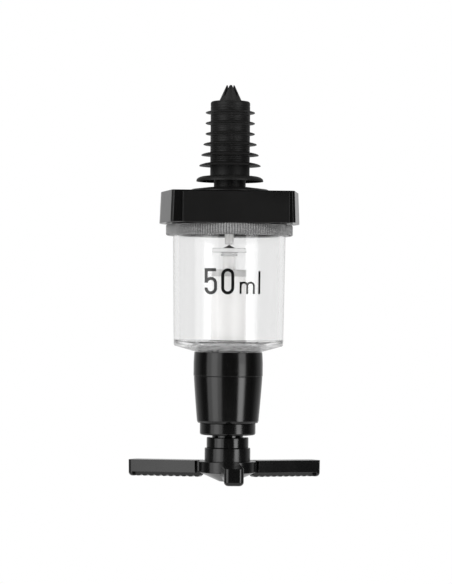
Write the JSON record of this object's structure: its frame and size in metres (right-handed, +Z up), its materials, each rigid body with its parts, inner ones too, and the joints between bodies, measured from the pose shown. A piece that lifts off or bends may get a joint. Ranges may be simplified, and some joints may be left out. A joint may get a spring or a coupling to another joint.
{
  "type": "spirit measure dispenser",
  "caption": "Bar optic for an upside-down bottle: ribbed stopper, black housing, clear measuring chamber, black valve body and a sprung three-arm push lever.",
  "frame": {"origin": "on the axis, level with the underside of the housing, where a bracket carries it", "axes": "+Z up along the axis towards the bottle, -Y is the front with the bare plate, +X to the right seen from the front"},
  "size_m": [0.0824, 0.0754, 0.1664],
  "materials": {
    "gloss_black_plastic": "glossy black moulded plastic",
    "label_black_plastic": "bare glossy black plate, softly rippled by its moulding",
    "satin_black_plastic": "satin black moulded plastic",
    "stopper_rubber": "satin black rubber with fine mould marks",
    "seal_rubber": "soft black rubber",
    "pale_rubber": "pale grey translucent silicone",
    "clear_plastic": "clear polished plastic",
    "milky_plastic": "milky white natural plastic",
    "spring_steel": "drawn spring steel"
  },
  "bodies": {
    "measure": {"inlet_tube": "satin_black_plastic", "cork_bung": "stopper_rubber", "top_flange": "gloss_black_plastic", "housing": "gloss_black_plastic", "label_plate": "label_black_plastic", "seat_plate": "gloss_black_plastic", "inlet_spout": "milky_plastic", "chamber_gasket": "seal_rubber", "lock_ring": "clear_plastic", "chamber": "clear_plastic", "neck_gasket": "seal_rubber", "body_collar": "gloss_black_plastic", "guide_bush": "milky_plastic", "body_shell": "gloss_black_plastic", "nose_nut": "gloss_black_plastic", "rod_seal": "seal_rubber", "seal_washer": "milky_plastic"},
    "plunger": {"column": "milky_plastic", "column_cap": "pale_rubber", "outlet_seal": "seal_rubber", "plunger_rod": "milky_plastic", "plunger_stop": "spring_steel", "return_spring": "spring_steel", "valve_spring": "spring_steel", "hub_nut": "gloss_black_plastic", "hub_sleeve": "gloss_black_plastic", "lever": "gloss_black_plastic", "outlet_nozzle": "gloss_black_plastic"},
    "inlet_valve": {"valve_cone": "seal_rubber", "valve_disc": "clear_plastic", "valve_stem": "milky_plastic"}
  },
  "joints": [
    {"name": "lever_lift", "type": "slide", "parent": "measure", "child": "plunger", "axis": [0, 0, 1], "range_m": [0, 0.0052], "stiffness_N_per_m": 600, "springref_m": -0.008, "deforming": ["return_spring"]},
    {"name": "valve_slide", "type": "slide", "parent": "plunger", "child": "inlet_valve", "axis": [0, 0, 1], "range_m": [-0.0043, 0], "deforming": ["valve_spring"]}
  ],
  "couplings": [
    {"joint": "valve_slide", "follows": "lever_lift", "ratio": -0.8269}
  ]
}
